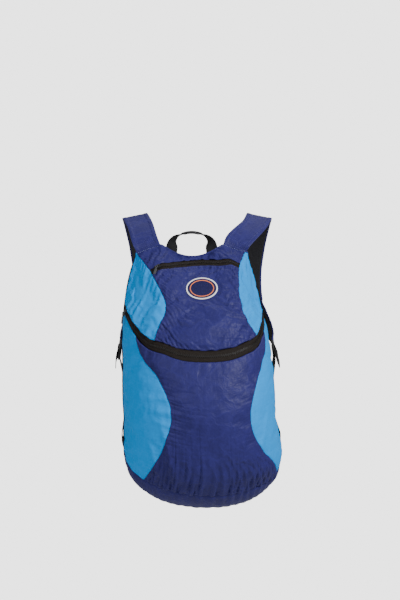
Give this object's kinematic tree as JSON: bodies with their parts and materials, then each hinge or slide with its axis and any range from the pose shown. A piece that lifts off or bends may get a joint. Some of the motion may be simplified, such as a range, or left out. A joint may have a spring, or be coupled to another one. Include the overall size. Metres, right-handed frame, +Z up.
{
  "type": "packable backpack",
  "caption": "Light packable daypack of thin nylon with a gathered front, curved front zip, side panels, flat worn straps and webbing.",
  "frame": {"origin": "midway between the crests of the two shoulder straps, where they sit on the shoulders", "axes": "+X to the right seen from behind the wearer, +Y towards the wearer, +Z up"},
  "size_m": [0.2815, 0.3207, 0.4927],
  "materials": {
    "navy_nylon": "satin",
    "turquoise_nylon": "satin",
    "black_mesh": "matte",
    "black_webbing": "matte",
    "zip_tape": "matte",
    "zip_coil": "satin",
    "black_plastic": "satin",
    "zip_metal": "satin",
    "grey_cord": "matte",
    "sewn_patch": "matte"
  },
  "bodies": {
    "root": {"yoke": "navy_nylon", "upper_front_panel": "navy_nylon", "lower_front_panel": "navy_nylon", "upper_side_panel_left": "turquoise_nylon", "upper_side_panel_right": "turquoise_nylon", "lower_side_panel_left": "turquoise_nylon", "lower_side_panel_right": "turquoise_nylon", "bottom_panel": "navy_nylon", "back_panel": "black_mesh", "main_zipper_tape": "zip_tape", "main_zipper_coil": "zip_coil", "main_zipper_slider": "zip_metal", "main_zipper_pull": "grey_cord", "top_zipper_tape": "zip_tape", "top_zipper_coil": "zip_coil", "top_zipper_slider": "zip_metal", "top_zipper_pull": "grey_cord", "badge": "sewn_patch", "shoulder_strap_left": "navy_nylon", "shoulder_strap_right": "navy_nylon", "strap_lining_left": "black_mesh", "strap_lining_right": "black_mesh", "ladder_lock_left": "black_plastic", "ladder_lock_right": "black_plastic", "webbing_left": "black_webbing", "webbing_right": "black_webbing", "haul_loop": "black_webbing"}
  },
  "joints": []
}
